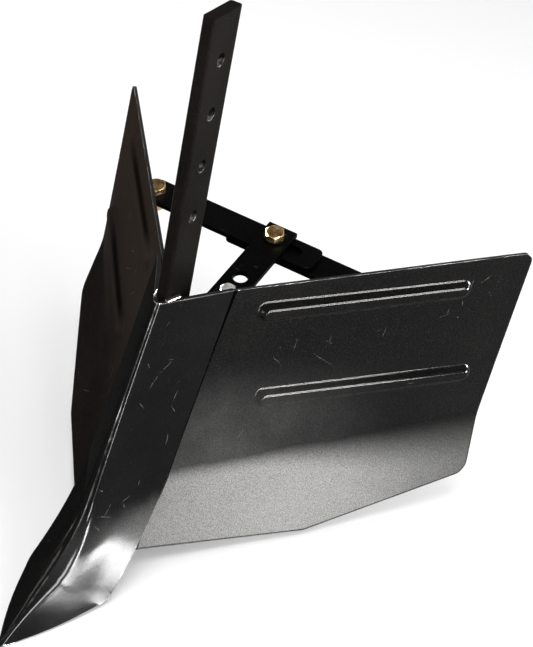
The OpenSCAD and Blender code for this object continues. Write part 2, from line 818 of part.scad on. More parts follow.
module lug_nut_right() {
    color(zinc) place() lug_nut(lug_over_right);
}

module lug_nut_left() {
    color(zinc) place() left_side() lug_nut(lug_over_left);
}

module stay(top) {
    on_bar([0, 0], top - bar_t)
        linear_extrude(bar_t)
            difference() {
                union() {
                    translate(stay_pin) circle(d = bar_w);
                    translate([-stay_past + stay_corner, -bar_w / 2])
                        square([stay_reach + stay_past - stay_corner, bar_w]);
                    translate([-stay_past, -bar_w / 2 + stay_corner])
                        square([stay_reach + stay_past, bar_w - 2 * stay_corner]);
                    for (y = [-1, 1])
                        translate([-stay_past + stay_corner, y * (bar_w / 2 - stay_corner)])
                            circle(stay_corner);
                }
                translate(stay_pin) circle(d = bolt_d + 2 * pin_play);
                circle(d = slot_w);
                translate([-slot_travel, -slot_w / 2])
                    square([slot_travel, slot_w]);
                translate([-slot_travel, 0])
                    circle(d = slot_w);
            }
}

module stay_right() {
    color(paint) place() stay(stay_top_right);
}

module stay_left() {
    color(paint) place() left_side() stay(stay_top_left);
}

shank();
share();
nose_gusset();
shank_weld_left();
shank_weld_right();
hinge_tab_left();
hinge_tab_right();
tab_weld_left();
tab_weld_right();
hinge_bolt_left();
hinge_bolt_right();
hinge_washer_left();
hinge_washer_right();
hinge_nut_left();
hinge_nut_right();
centre_bar();
bar_weld();
centre_bolt();
centre_washer_top();
centre_washer_low();
centre_nut();
wing_left();
wing_right();
wing_ear_left();
wing_ear_right();
wing_lug_left();
wing_lug_right();
lug_weld_left();
lug_weld_right();
lug_bolt_left();
lug_bolt_right();
lug_washer_left();
lug_washer_right();
lug_nut_left();
lug_nut_right();
stay_left();
stay_right();
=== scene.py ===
import json
import math

import bmesh
import bpy
import numpy as np
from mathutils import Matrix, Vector

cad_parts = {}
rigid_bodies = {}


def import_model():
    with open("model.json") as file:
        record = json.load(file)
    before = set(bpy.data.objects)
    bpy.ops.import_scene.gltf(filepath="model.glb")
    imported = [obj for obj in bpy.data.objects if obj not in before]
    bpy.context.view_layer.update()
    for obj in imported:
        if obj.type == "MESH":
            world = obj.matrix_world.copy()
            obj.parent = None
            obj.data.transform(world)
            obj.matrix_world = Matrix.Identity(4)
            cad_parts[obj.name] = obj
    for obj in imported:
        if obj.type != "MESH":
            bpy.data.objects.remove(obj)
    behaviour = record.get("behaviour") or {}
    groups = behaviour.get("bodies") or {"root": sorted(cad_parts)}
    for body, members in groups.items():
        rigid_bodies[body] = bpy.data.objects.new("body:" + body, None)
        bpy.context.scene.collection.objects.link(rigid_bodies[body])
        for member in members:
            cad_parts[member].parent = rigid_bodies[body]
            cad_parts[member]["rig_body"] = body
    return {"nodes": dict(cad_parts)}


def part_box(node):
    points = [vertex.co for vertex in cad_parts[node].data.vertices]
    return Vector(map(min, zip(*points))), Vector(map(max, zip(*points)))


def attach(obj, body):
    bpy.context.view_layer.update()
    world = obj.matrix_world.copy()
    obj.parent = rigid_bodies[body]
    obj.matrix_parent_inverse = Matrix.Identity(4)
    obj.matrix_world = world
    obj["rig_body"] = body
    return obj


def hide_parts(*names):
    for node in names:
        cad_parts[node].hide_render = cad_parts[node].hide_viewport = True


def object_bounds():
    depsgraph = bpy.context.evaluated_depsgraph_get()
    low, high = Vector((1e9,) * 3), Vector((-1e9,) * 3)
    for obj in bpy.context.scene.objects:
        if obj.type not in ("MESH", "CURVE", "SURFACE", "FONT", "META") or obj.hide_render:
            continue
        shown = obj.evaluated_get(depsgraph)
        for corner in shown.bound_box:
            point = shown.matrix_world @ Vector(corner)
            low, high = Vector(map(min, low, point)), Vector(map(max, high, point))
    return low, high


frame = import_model()
cad_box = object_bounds()
nodes = frame["nodes"]
scene = bpy.context.scene
MM = 0.001


# Sizes in millimetres and degrees, the same as the solids have.

# Share
share_top, share_back, share_half, share_rake = 256, 57.5, 38.5, 20.8
crease_lead, crease_knee, edge_knee = 5.6, 52, 81
blade_reach, blade_half, blade_corner = 186, 41.5, 84
blade_bow, blade_lift, blade_round = 3.2, 2, 9
nose_r, knee_r, tip_r = 5, 15, 3.4
share_t, tip_t = 3.5, 1.8

# Wings
wing_x, wing_y, wing_angle, wing_len, wing_t = 34.5, 59.4, 38.2, 300, 3
wing_top_front, wing_top_rear, wing_corner = 252, 267, 10.5
lean_front, lean_rear, flange_lean = 10.3, 2.9, 14.5
fold_z, fold_soft = 90, 9
rear_rake, front_rake, front_lap = 5.7, 16.7, 9
bottom_front, bottom_mid_s, bottom_mid, bottom_rear = 19, 99, 4, 36

# Ribs of the wings
rib_w, rib_h, rib_flank = 20, 5.5, 0.66
rib_front, rib_step, rib_rear, rib_extra = 27, 6, 240, 21
rib_up_front, rib_up_rear, rib_low_front, rib_low_rear = 229.5, 234.5, 146.5, 142.5

# Shank and bars
shank_d, shank_top, shank_front = 43, 510, 0.5
hole_d, hole_pitch, hole_drop, hole_count = 11, 46.8, 39.5, 4
bar_tilt = 14.7

# Rounding of the sharp edges
plate_edge, shank_edge, fastener_edge, weld_edge = 0.6, 0.5, 0.3, 0.2


def tan(degrees):
    return math.tan(math.radians(degrees))


def sin(degrees):
    return math.sin(math.radians(degrees))


def cos(degrees):
    return math.cos(math.radians(degrees))


def mix(a, b, q):
    return a + (b - a) * q


def arc2(a, b, c, q):
    """A point on the curve from a to c that b pulls out."""
    return mix(mix(a, b, q), mix(b, c, q), q)


def toward(a, b, length):
    return a + (b - a) / np.linalg.norm(b - a) * length


def ramp(x, low, high):
    """Rises smoothly from 0 at low to 1 at high."""
    q = np.clip((x - low) / (high - low), 0, 1)
    return q * q * (3 - 2 * q)


def window(x, start, full, fade, end):
    """1 from full to fade, and 0 before start and after end."""
    return ramp(x, start, full) * ramp(end - x, 0, end - fade)


# Share: the same stations as the solid, more closely spaced.

pull_back_share, pull_down_share = 0.27, 0.57
knee_up_share, knee_out_share, knee_open_share = 0.16, 0.34, 0.3
face_end_share, blade_start_share = 0.97, 0.06
blade_first_share, blade_last_share = 0.03, 0.963
fold_limit_share = 0.7
face_count, bend_count, corner_count, blade_count = 44, 44, 12, 44
fold_steps, face_steps = 12, 18


def crease_at(z):
    return np.array([0, -crease_lead - (share_top - z) * tan(share_rake), z])


def edge_at(z):
    return np.array([share_half, share_back - (share_top - z) * tan(share_rake), z])


tip = np.array([0, -blade_reach, 0.0])
knee = crease_at(crease_knee)
corner = np.array([blade_half, -blade_corner, blade_lift])
edge_bend = edge_at(edge_knee)
edge_pull = np.array([share_half, mix(edge_bend[1], corner[1], pull_back_share),
                      mix(edge_bend[2], corner[2], pull_down_share)])
knee_from = mix(knee, crease_at(share_top), knee_up_share)
knee_to = mix(knee, tip, knee_out_share)
corner_in = toward(corner, edge_pull, blade_round)
corner_out = toward(corner, tip, blade_round)
blade_from = mix(knee_to, tip, blade_start_share)


def share_stations():
    """Crease point, edge point, fold radius and thickness, from the top of the share to the tip."""
    open_r = mix(nose_r, knee_r, knee_open_share)
    out = []
    for q in np.linspace(0, face_end_share, face_count):
        out.append((mix(crease_at(share_top), knee_from, q), mix(edge_at(share_top), edge_bend, q),
                    mix(nose_r, knee_r, q ** 3 * knee_open_share), share_t))
    for q in np.linspace(0, 1, bend_count):
        out.append((arc2(knee_from, knee, knee_to, q), arc2(edge_bend, edge_pull, corner_in, q),
                    mix(open_r, knee_r, sin(90 * q)), share_t))
    for q in np.linspace(0, 1, corner_count + 1)[1:]:
        out.append((mix(knee_to, blade_from, q), arc2(corner_in, corner, corner_out, q), knee_r, share_t))
    for q in np.linspace(blade_first_share, blade_last_share, blade_count):
        bow = np.array([blade_bow * sin(180 * q), 0, 0])
        out.append((mix(blade_from, tip, q), mix(corner_out, tip, q) + bow,
                    mix(knee_r, tip_r, sin(90 * q)), mix(share_t, tip_t, q)))
    return out


def station_side(station, inset):
    """The right side's points at a station, from the crease to the edge, moved in by inset."""
    crease, edge, fold_r, _ = station
    run = np.array([0, edge[1] - crease[1], edge[2] - crease[2]])
    depth = np.linalg.norm(run)
    along = run / depth
    half = edge[0]
    opened = math.atan2(half, depth)
    radius = min(fold_r, fold_limit_share * math.hypot(half, depth) * math.tan(opened))
    lead = radius * (1 / math.sin(opened) - 1)
    side = math.atan2(half, depth + lead)
    apex = crease - along * radius * (1 / math.sin(side) - 1)
    centre = radius / math.sin(side)
    r = radius - inset
    foot = np.array([r * math.cos(side), centre - r * math.sin(side)])
    end = np.array([half - inset * math.cos(side), depth + lead + inset * math.sin(side)])
    points = []
    for i in range(fold_steps + 1):
        turn = (math.pi / 2 - side) * i / fold_steps
        points.append((r * math.sin(turn), centre - r * math.cos(turn)))
    for i in range(1, face_steps + 1):
        points.append(tuple(mix(foot, end, i / face_steps)))
    return np.array([apex + along * y + np.array([x, 0, 0]) for x, y in points])


stations = share_stations()
low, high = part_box("shank")
frame_shift = (low.y + high.y) / 2 / MM - shank_front - shank_d / 2
frame_lift = high.z / MM - shank_top
frame_move = np.array([0, frame_shift, frame_lift])

# Shallow hollows in the bend between face and blade. Depths are in millimetres, places across are shares of
# the way from the crease to the edge, and places along are counted in stations.
hollows = (
    {"depth": 0.64, "across": 0.10, "along": 95.0, "wide": 0.48, "above": 14.8, "below": 9.0},
    {"depth": 0.65, "across": 0.59, "along": 66.0, "wide": 0.33, "above": 21.0, "below": 19.0},
    {"depth": 0.91, "across": 0.41, "along": 66.3, "wide": 0.22, "above": 20.1, "below": 15.3})
hollow_across, hollow_along = (0, 0.12, 0.88, 1), (face_count, 58, 133, len(stations) - 1)

# The stations round the blade's corner are averaged over this reach to each side.
ease_reach = 7
ease_across, ease_along = (0.05, 0.3, 0.8, 1), (68, 80, 110, 122)


def share_give(side):
    """How far one side's points move: the stations round the corner run together, and the bend is hollow."""
    run = np.cumsum(np.linalg.norm(np.diff(side, axis=1), axis=2), axis=1)
    run = np.concatenate([np.zeros((len(side), 1)), run], axis=1)
    across = run / run[:, -1:]
    along = np.arange(len(side))[:, None] + 0 * across
    kernel = np.hanning(2 * ease_reach + 3)[1:-1]
    padded = np.pad(side, ((ease_reach, ease_reach), (0, 0), (0, 0)), mode="edge")
    even = sum(k * padded[i:i + len(side)] for i, k in enumerate(kernel / kernel.sum()))
    much = window(across, *ease_across) * window(along, *ease_along)
    eased = side + (even - side) * much[..., None]
    normal = np.cross(np.gradient(eased, axis=0), np.gradient(eased, axis=1))
    normal *= np.sign(normal[..., 0].mean()) / np.linalg.norm(normal, axis=2, keepdims=True)
    depth = 0
    for h in hollows:
        length = np.where(along < h["along"], h["above"], h["below"])
        far = ((across - h["across"]) / h["wide"]) ** 2 + ((along - h["along"]) / length) ** 2
        depth = depth + h["depth"] * np.exp(-far)
    depth = depth * window(across, *hollow_across) * window(along, *hollow_along)
    return eased - side - normal * depth[..., None]


def both_sides(side):
    """The right side's points with their mirror image before them."""
    return np.concatenate([side[:, :0:-1] * np.array([-1, 1, 1]), side], axis=1)


# Wing: s runs back along the top edge, z is height, n is the distance outwards.

rear_in = 0.05
rib_half = rib_w / 2
rib_low_start, rib_low_end = rib_front + rib_step, rib_rear + rib_extra
rib_lines = (
    (np.array([rib_front + rib_half, rib_up_front]), np.array([rib_rear - rib_half, rib_up_rear])),
    (np.array([rib_low_start + rib_half, rib_low_front]), np.array([rib_low_end - rib_half, rib_low_rear])))


def line_top(s):
    return mix(wing_top_front, wing_top_rear, s / wing_len)


def line_low(s):
    run = front_lap + wing_top_front * tan(front_rake)
    fore = mix(bottom_mid, bottom_front, (bottom_mid_s - s) / (bottom_mid_s + run))
    aft = mix(bottom_mid, bottom_rear, (s - bottom_mid_s) / (wing_len - bottom_mid_s))
    return np.where(s < bottom_mid_s, fore, aft)


def front_s(z):
    return -front_lap - (wing_top_front - z) * tan(front_rake)


def rear_s(z):
    """The rear edge, set in a little so that the finer corners stay inside the solid's box."""
    return wing_len - rear_in - (wing_top_rear - z) * tan(rear_rake)


def soft(d):
    """0 above the fold and the depth d below it, with a rounded change."""
    return np.where(d < -fold_soft, 0, np.where(d > fold_soft, d, (d + fold_soft) ** 2 / (4 * fold_soft)))


def line_gap(s, z, a, b):
    """Distance from the line between a and b."""
    d = b - a
    q = np.clip(((s - a[0]) * d[0] + (z - a[1]) * d[1]) / (d @ d), 0, 1)
    return np.hypot(s - a[0] - q * d[0], z - a[1] - q * d[1])


def ribs(s, z):
    total = 0
    for a, b in rib_lines:
        q = np.clip((rib_half - line_gap(s, z, a, b)) / (rib_half * rib_flank), 0, 1)
        total = total + rib_h * (1 - np.cos(np.pi * q)) / 2
    return total


def wing_n(s, z):
    lean = np.tan(np.radians(lean_front + (lean_rear - lean_front) / wing_len * s))
    return lean * (line_top(s) - z) + (tan(flange_lean) - lean) * soft(fold_z - z)


def wing_at(s, z, n):
    return np.stack([wing_x + s * sin(wing_angle) + n * cos(wing_angle),
                     wing_y + s * cos(wing_angle) - n * sin(wing_angle), z + 0 * s], axis=-1)


# The wing's grid, closer at the ribs' ends, and the painted shadow on it along the share's rear edge.

rib_past_share = 0.4
first_col, last_col = rib_front - rib_past_share * rib_half, rib_low_end + rib_past_share * rib_half
sparse_from, sparse_to = 52, 214
front_cols = np.linspace(0, 1, 23)[:-1]
mid_cols = np.concatenate([np.linspace(first_col, sparse_from, 24)[:-1],
                           np.linspace(sparse_from, sparse_to, 58)[:-1],
                           np.linspace(sparse_to, last_col, 38)])
rear_cols = np.linspace(0, 1, 6)[1:-1]
round_cols = np.linspace(0, 1, 11)
row_counts = (22, 12, 10, 26, 16, 26, 10)
seam_col, seam_lap = 2, 1
seam_heights, seam_widths = (80, 210), (8.8, 7.3)
share_edge = np.array([station[1] for station in stations[face_count + bend_count - 1::-1]])
edge_s = (share_edge[:, 0] - wing_x) * sin(wing_angle) + (share_edge[:, 1] - wing_y) * cos(wing_angle)


def seam_s(z):
    """Where the painted shadow along the share's edge starts, just under the share."""
    return np.maximum(np.interp(z, share_edge[:, 2], edge_s) - seam_lap, front_s(z) + seam_lap)


def seam_end(z):
    return seam_s(z) + np.interp(z, seam_heights, seam_widths)


def col_lean(s, z):
    """Below the lower rib, the rear columns lean as the rear edge does."""
    much = max(0, (s - bottom_mid_s) / (last_col - bottom_mid_s))
    return s - np.maximum(0, rib_low_rear - z) * tan(rear_rake) * much


def wing_columns():
    """Each column is a function of height and the length that its ends are cut by."""
    cols = [(lambda z, q=q: mix(front_s(z), seam_s(z), q), 0) for q in (0, 0.5)]
    cols += [(seam_s, 0)]
    cols += [(lambda z, q=q: mix(seam_end(z), first_col, q), 0) for q in front_cols]
    cols += [(lambda z, s=s: col_lean(s, z), 0) for s in mid_cols]
    cols += [(lambda z, q=q: mix(col_lean(last_col, z), rear_s(z) - wing_corner, q), 0) for q in rear_cols]
    cols += [(lambda z, q=q: rear_s(z) - wing_corner * (1 - sin(90 * q)), wing_corner * (1 - cos(90 * q)))
             for q in round_cols]
    return cols


def wing_grid():
    """Pairs of s and z, with rows that follow the edges, the fold and the ribs."""
    grid = []
    for place, cut in wing_columns():
        s_low, s_top = float(place(bottom_rear)), float(place(wing_top_front))
        up = mix(rib_up_front, rib_up_rear, (s_top - rib_front) / (rib_rear - rib_front))
        down = mix(rib_low_front, rib_low_rear, (s_top - rib_low_start) / (rib_low_end - rib_low_start))
        levels = [float(line_low(s_low)), fold_z - fold_soft, fold_z + fold_soft, down - rib_half,
                  down + rib_half, up - rib_half, up + rib_half, float(line_top(s_top))]
        parts = [np.linspace(levels[i], levels[i + 1], count + 1)[:-1] for i, count in enumerate(row_counts)]
        z = np.concatenate(parts + [levels[-1:]])
        span = z[-1] - z[0]
        z = z[0] + cut + (z - z[0]) * (span - 2 * cut) / span
        grid.append(np.stack([place(z), z], axis=-1))
    return np.array(grid)


def corner_gap(a, b, r):
    """Distance inwards from an outline with a rounded corner, from the distances to its two sides."""
    x, y = np.maximum(r - a, 0), np.maximum(r - b, 0)
    return np.where((x > 0) & (y > 0), r - np.hypot(x, y), np.minimum(a, b))


# Meshes

same_point = 0.002 * MM
flat_angle, sharp_plate, sharp_edge, sharp_weld = 0.4, 50, 35, 60


def link(obj):
    scene.collection.objects.link(obj)
    return obj


def shell(name, outer, inner, values):
    """A closed sheet between two grids of points, with a value per point stored as named attributes."""
    n, m, _ = outer.shape
    verts = np.concatenate([outer.reshape(-1, 3), inner.reshape(-1, 3)])
    half = n * m

    def at(i, j, back):
        return i * m + j + (half if back else 0)

    faces = []
    for i in range(n - 1):
        for j in range(m - 1):
            faces.append((at(i, j, 0), at(i + 1, j, 0), at(i + 1, j + 1, 0), at(i, j + 1, 0)))
            faces.append((at(i, j, 1), at(i, j + 1, 1), at(i + 1, j + 1, 1), at(i + 1, j, 1)))
    for i in range(n - 1):
        for j in (0, m - 1):
            faces.append((at(i, j, 0), at(i, j, 1), at(i + 1, j, 1), at(i + 1, j, 0)))
    for j in range(m - 1):
        for i in (0, n - 1):
            faces.append((at(i, j, 0), at(i, j + 1, 0), at(i, j + 1, 1), at(i, j, 1)))
    mesh = bpy.data.meshes.new(name)
    mesh.from_pydata([tuple(v) for v in verts * MM], [], faces)
    for key, value in values.items():
        both = np.concatenate([value.reshape(half, -1)] * 2)
        kind = "FLOAT" if both.shape[1] == 1 else "FLOAT_VECTOR"
        layer = mesh.attributes.new(key, kind, "POINT")
        layer.data.foreach_set("value" if kind == "FLOAT" else "vector", both.astype(np.float32).ravel())
    bm = bmesh.new()
    bm.from_mesh(mesh)
    bmesh.ops.recalc_face_normals(bm, faces=bm.faces)
    bm.to_mesh(mesh)
    bm.free()
    mesh.polygons.foreach_set("use_smooth", [True] * len(mesh.polygons))
    return link(bpy.data.objects.new(name, mesh))


def slots(obj, shape, materials, pick):
    """The front faces get the slot that pick finds, and the back and the rims get the last two."""
    for material in materials:
        obj.data.materials.append(material)
    rows, cols = shape[0] - 1, shape[1] - 1
    for face in obj.data.polygons:
        row = face.index // 2 // cols
        if row < rows:
            face.material_index = len(materials) - 2 if face.index % 2 else pick(row, face.center)
        else:
            face.material_index = len(materials) - 1


def soften(obj, width, angle, segments=3):
    """Rounds the sharp edges and keeps the flat faces flat."""
    bevel = obj.modifiers.new("edges", "BEVEL")
    bevel.width = width * MM
    bevel.segments = segments
    bevel.limit_method = "ANGLE"
    bevel.angle_limit = math.radians(angle)
    bevel.use_clamp_overlap = True
    even = obj.modifiers.new("normals", "WEIGHTED_NORMAL")
    even.keep_sharp = False
    even.weight = 60
    return obj


def settle(obj, node):
    """Puts a piece in its node's place and on the node's body."""
    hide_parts(node)
    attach(obj, nodes[node]["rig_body"])
    return obj


def dress(node, width, material, angle=sharp_edge, segments=3):
    """A CAD node's own shape with rounded edges, riding where the node rides."""
    mesh = nodes[node].data.copy()
    bm = bmesh.new()
    bm.from_mesh(mesh)
    bmesh.ops.remove_doubles(bm, verts=bm.verts, dist=same_point)
    bmesh.ops.dissolve_limit(bm, angle_limit=math.radians(flat_angle), verts=bm.verts, edges=bm.edges)
    bmesh.ops.recalc_face_normals(bm, faces=bm.faces)
    bm.to_mesh(mesh)
    bm.free()
    mesh.materials.clear()
    mesh.materials.append(material)
    mesh.polygons.foreach_set("use_smooth", [True] * len(mesh.polygons))
    obj = link(bpy.data.objects.new(node + "_look", mesh))
    soften(obj, width, angle, segments)
    return settle(obj, node)


# Materials

BARE = (0.36, 0.35, 0.34)
# The light grey of the painted reflections on the flange and the blade.
PAINTED_REFLECTION_GREY = (0.42, 0.416, 0.409)
FLECK = (0.16, 0.155, 0.15)
# The painted shade on the upper flanks of the left wing's ribs.
RIB_PAINTED_SHADE = (0.0022, 0.0016, 0.0013)
HAIRLINE = (0.30, 0.29, 0.28)
ZINC_SPECK = (0.85, 0.78, 0.60)
# The brown of the painted dark reflection on the tops of bolt heads.
ZINC_TOP_REFLECTION = (0.17, 0.085, 0.032)


class Shader:
    """A material and short ways to add nodes to it."""

    def __init__(self, name):
        self.mat = bpy.data.materials.new(name)
        self.mat.use_nodes = True
        self.tree = self.mat.node_tree
        self.bsdf = self.tree.nodes["Principled BSDF"]
        spots = self.add("ShaderNodeTexCoord")
        self.place, self.normal = spots.outputs["Object"], spots.outputs["Normal"]

    def add(self, kind, **props):
        node = self.tree.nodes.new(kind)
        for key, value in props.items():
            setattr(node, key, value)
        return node

    def put(self, socket, value):
        if isinstance(value, bpy.types.NodeSocket):
            self.tree.links.new(value, socket)
        else:
            socket.default_value = value

    def math(self, op, a, b=0.0, c=0.0):
        node = self.add("ShaderNodeMath", operation=op)
        for socket, value in zip(node.inputs, (a, b, c)):
            self.put(socket, value)
        return node.outputs[0]

    def vec(self, op, a, b=(0, 0, 0)):
        node = self.add("ShaderNodeVectorMath", operation=op)
        self.put(node.inputs[0], a)
        self.put(node.inputs["Scale"] if op == "SCALE" else node.inputs[1], b)
        return node.outputs["Value" if op == "DOT_PRODUCT" else "Vector"]

    def noise(self, scale, detail=3.0, rough=0.55, stretch=None, distort=0.0):
        """Noise in the object's space. Stretch gives its rotation and its scale on each axis."""
        where = self.place
        if stretch:
            node = self.add("ShaderNodeMapping")
            self.put(node.inputs["Vector"], where)
            node.inputs["Rotation"].default_value = stretch[0]
            node.inputs["Scale"].default_value = stretch[1]
            where = node.outputs[0]
        node = self.add("ShaderNodeTexNoise")
        self.put(node.inputs["Vector"], where)
        node.inputs["Scale"].default_value = scale
        node.inputs["Detail"].default_value = detail
        node.inputs["Roughness"].default_value = rough
        node.inputs["Distortion"].default_value = distort
        return node.outputs["Fac"]

    def span(self, value, low, high, to_low=0.0, to_high=1.0):
        """Goes smoothly from to_low to to_high while value goes from low to high."""
        node = self.add("ShaderNodeMapRange", clamp=True)
        node.interpolation_type = "SMOOTHSTEP"
        self.put(node.inputs["Value"], value)
        for key, v in (("From Min", low), ("From Max", high), ("To Min", to_low), ("To Max", to_high)):
            self.put(node.inputs[key], v)
        return node.outputs["Result"]

    def blend(self, fac, a, b):
        node = self.add("ShaderNodeMix", data_type="RGBA")
        self.put(node.inputs["Factor"], fac)
        for socket, value in ((node.inputs[6], a), (node.inputs[7], b)):
            self.put(socket, (*value, 1.0) if isinstance(value, tuple) and len(value) == 3 else value)
        return node.outputs[2]

    def bump(self, height, strength, distance, normal=None):
        node = self.add("ShaderNodeBump")
        node.inputs["Strength"].default_value = strength
        node.inputs["Distance"].default_value = distance
        self.put(node.inputs["Height"], height)
        if normal is not None:
            self.put(node.inputs["Normal"], normal)
        return node.outputs["Normal"]

    def value(self, name):
        """A number that the mesh carries at each point."""
        return self.add("ShaderNodeAttribute", attribute_name=name).outputs["Fac"]

    def spot(self):
        """The place on the sheet that the mesh carries at each point, in millimetres."""
        return self.add("ShaderNodeAttribute", attribute_name="place").outputs["Vector"]

    def axis(self, which, vector):
        node = self.add("ShaderNodeSeparateXYZ")
        self.put(node.inputs[0], vector)
        return node.outputs[which]

    def strokes(self, where, lines):
        """Thin scratches, given as x0, y0, x1, y1 and half width, in the units of where."""
        total = None
        for x0, y0, x1, y1, w in lines:
            length = math.hypot(x1 - x0, y1 - y0)
            ux, uy = (x1 - x0) / length, (y1 - y0) / length
            rel = self.vec("SUBTRACT", where, (x0, y0, 0))
            t = self.vec("DOT_PRODUCT", rel, (ux, uy, 0))
            d = self.math("ABSOLUTE", self.vec("DOT_PRODUCT", rel, (-uy, ux, 0)))
            far = self.math("ABSOLUTE", self.math("SUBTRACT", t, length / 2))
            ends = self.span(far, length * 0.12, length * 0.33, 1.0, 0.0)
            mark = self.math("LESS_THAN", d, self.math("MULTIPLY", ends, 0.75 * w))
            total = mark if total is None else self.math("MAXIMUM", total, mark)
        return total


def scuffs(p):
    """Faint hairlines in two directions, in patches."""
    a = p.noise(1.0, 2, 0.5, stretch=((0.4, 0.7, 0.3), (75, 1000, 480)), distort=0.4)
    b = p.noise(1.0, 2, 0.5, stretch=((0.9, -0.5, 1.2), (900, 70, 420)), distort=0.4)
    patch = p.span(p.noise(30, 4, 0.6), 0.54, 0.68)
    lines = p.math("MAXIMUM", p.span(a, 0.70, 0.74), p.span(b, 0.71, 0.75))
    return p.math("MULTIPLY", lines, patch)


def paint(name, dark, light, rough, spec, worn=None, lift=None, marks=None, grain=1.0, tone=PAINTED_REFLECTION_GREY, tint=1.0,
          flank_shade=None, metal=0.0, sheer=1.0):
    """Black paint with fine grain and hairlines.

    Worn and marks are functions that give 1 where the metal is bare, and lift is one that gives 1 where the
    paint has the colour tone, a painted reflection or sheen. The painted-shade argument names the mesh's
    value of where painted shade darkens the paint. Metal, a number or a function, adds gloss. Sheer scales
    the gloss at a flat angle, and tint warms it.
    """
    p = Shader(name)
    cloud = p.noise(11, 5, 0.6)
    fleck = p.noise(950, 2, 0.6)
    colour = p.blend(p.span(cloud, 0.35, 0.7), dark, light)
    colour = p.blend(p.math("MULTIPLY", p.span(fleck, 0.44, 0.72), 0.09 * grain), colour, FLECK)
    if lift is not None:
        # Where lift gives 1 the colour goes to tone, with grain: a painted reflection or sheen.
        amount = lift(p)
        sparkle = p.span(p.noise(1150, 3, 0.7), 0.34, 0.68, 0.50, 1.30)
        colour = p.blend(p.math("MULTIPLY", amount, sparkle), colour, tone)
    # Painted shade where the mesh's named value says.
    if flank_shade is not None:
        colour = p.blend(p.math("MULTIPLY", p.value(flank_shade), 0.88), colour, RIB_PAINTED_SHADE)
    hair = scuffs(p)
    colour = p.blend(p.math("MULTIPLY", hair, 0.22), colour, HAIRLINE)
    bare = None
    for wear in (marks, worn):
        if wear is not None:
            more = wear(p)
            bare = more if bare is None else p.math("MAXIMUM", bare, more)
    coarse = p.span(cloud, 0.3, 0.75, rough - 0.03, rough + 0.05)
    if bare is not None:
        colour = p.blend(bare, colour, BARE)
        gloss = metal(p) if callable(metal) else metal
        p.put(p.bsdf.inputs["Metallic"], p.math("MAXIMUM", p.math("MULTIPLY", bare, 0.7), gloss))
        coarse = p.math("ADD", coarse, p.math("MULTIPLY", bare, -0.04))
    p.put(p.bsdf.inputs["Base Color"], colour)
    p.put(p.bsdf.inputs["Roughness"], coarse)
    p.bsdf.inputs["Specular IOR Level"].default_value = spec
    warm = (sheer, sheer * (1 - 0.1 * tint), sheer * (1 - 0.15 * tint), 1.0)
    p.bsdf.inputs["Specular Tint"].default_value = warm
    peel = p.bump(p.noise(260, 3, 0.5), 0.05, 0.6 * MM)
    fine = p.bump(fleck, 0.10 * grain, 0.4 * MM, peel)
    p.put(p.bsdf.inputs["Normal"], p.bump(hair, 0.12, 0.2 * MM, fine))
    return p.mat


def zinc(name, dull, bright, top_reflection):
    """Zinc plate with stains, and with a brown painted dark reflection on the tops of the heads, by the
    share that the last argument gives.
    """
    p = Shader(name)
    stain = p.noise(130, 5, 0.65)
    fine = p.noise(900, 3, 0.6)
    colour = p.blend(p.span(stain, 0.35, 0.65), dull, bright)
    colour = p.blend(p.math("MULTIPLY", p.span(fine, 0.6, 0.72), 0.5), colour, ZINC_SPECK)
    # Heads that face up from the bars get the brown painted dark reflection.
    facing = p.vec("DOT_PRODUCT", p.normal, (0, -sin(bar_tilt), cos(bar_tilt)))
    brown = p.span(stain, 0.3, 0.62, top_reflection, top_reflection * 0.65)
    colour = p.blend(p.math("MULTIPLY", p.span(facing, 0.93, 0.99), brown), colour, ZINC_TOP_REFLECTION)
    p.put(p.bsdf.inputs["Base Color"], colour)
    p.bsdf.inputs["Metallic"].default_value = 1.0
    p.put(p.bsdf.inputs["Roughness"], p.span(stain, 0.3, 0.7, 0.24, 0.42))
    p.put(p.bsdf.inputs["Normal"], p.bump(fine, 0.08, 0.3 * MM))
    return p.mat


# Wear and painted light, in millimetres: s and z on a wing, distance from the crease and height on the
# share.

rear_wear_from, rear_wear_to = 262, 276
flange_front_z, flange_rear_z, flange_fade_z = 74, 34, 95
haze_low_z, haze_high_z, haze_front_s, haze_rear_s = 110, 190, 20, 200

WING_MARKS = [
    (70, 205, 66, 186, 0.35), (95, 198, 108, 190, 0.4), (104, 204, 100, 188, 0.3), (78, 190, 118, 164, 0.28),
    (160, 206, 154, 190, 0.4), (152, 203, 149, 196, 0.3), (205, 204, 228, 212, 0.35),
    (206, 198, 203, 190, 0.4), (222, 218, 219, 206, 0.45), (232, 226, 236, 214, 0.5),
    (245, 236, 262, 250, 0.4), (258, 232, 266, 222, 0.35), (241, 247, 238, 232, 0.4),
    (232, 206, 234, 204, 0.7), (60, 60, 104, 30, 0.25), (118, 20, 160, 26, 0.3), (165, 26, 190, 40, 0.28),
    (30, 120, 18, 104, 0.35), (44, 190, 60, 172, 0.25), (187, 143, 199, 144, 0.35)]
SHARE_MARKS = [
    (24, 190, 38, 205, 0.4), (28, 196, 20, 176, 0.35), (30, 203, 40, 204, 0.3), (14, 172, 26, 160, 0.25),
    (52, 178, 50, 160, 0.35), (47, 165, 60, 150, 0.3), (8, 72, 34, 66, 0.35), (20, 64, 24, 84, 0.35),
    (30, 74, 44, 86, 0.3), (12, 66, 26, 56, 0.4), (6, 96, 12, 92, 0.5), (56, 140, 61, 118, 0.35),
    (10, 206, 16, 198, 0.5), (44, 98, 46, 88, 0.4), (36, 78, 40, 70, 0.35)]


